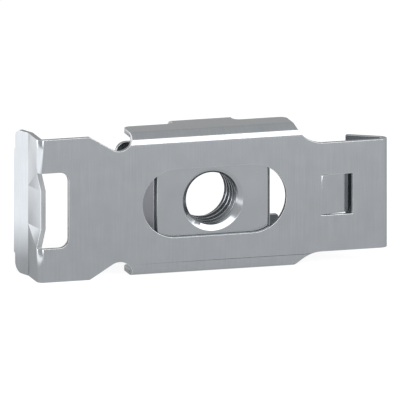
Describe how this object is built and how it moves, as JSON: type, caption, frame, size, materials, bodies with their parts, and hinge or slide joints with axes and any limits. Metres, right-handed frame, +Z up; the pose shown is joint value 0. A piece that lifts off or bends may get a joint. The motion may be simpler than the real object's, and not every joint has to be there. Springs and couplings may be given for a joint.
{
  "type": "rack cage nut",
  "caption": "Bent spring-steel clip that carries a square M6 nut behind an oblong window, so that a screw can fasten equipment to a rack rail.",
  "frame": {"origin": "the middle of the nut's thread, with the nut at the middle of its travel", "axes": "+X along the clip from the flared end to the hemmed end, -Y out of the front, the way the screw leaves, and +Z up, with the clip standing on its long lower edge"},
  "size_m": [0.0352, 0.0065, 0.0138],
  "materials": {
    "spring_steel": "zinc-plated spring strip with a fine grain across its length",
    "nut_steel": "zinc-plated machined steel"
  },
  "bodies": {
    "cage": {"spring_cage": "spring_steel"},
    "nut": {"square_nut": "nut_steel"}
  },
  "joints": [
    {"name": "nut_travel", "type": "slide", "parent": "cage", "child": "nut", "axis": [1, 0, 0], "range_m": [-0.0022, 0.0022]}
  ]
}
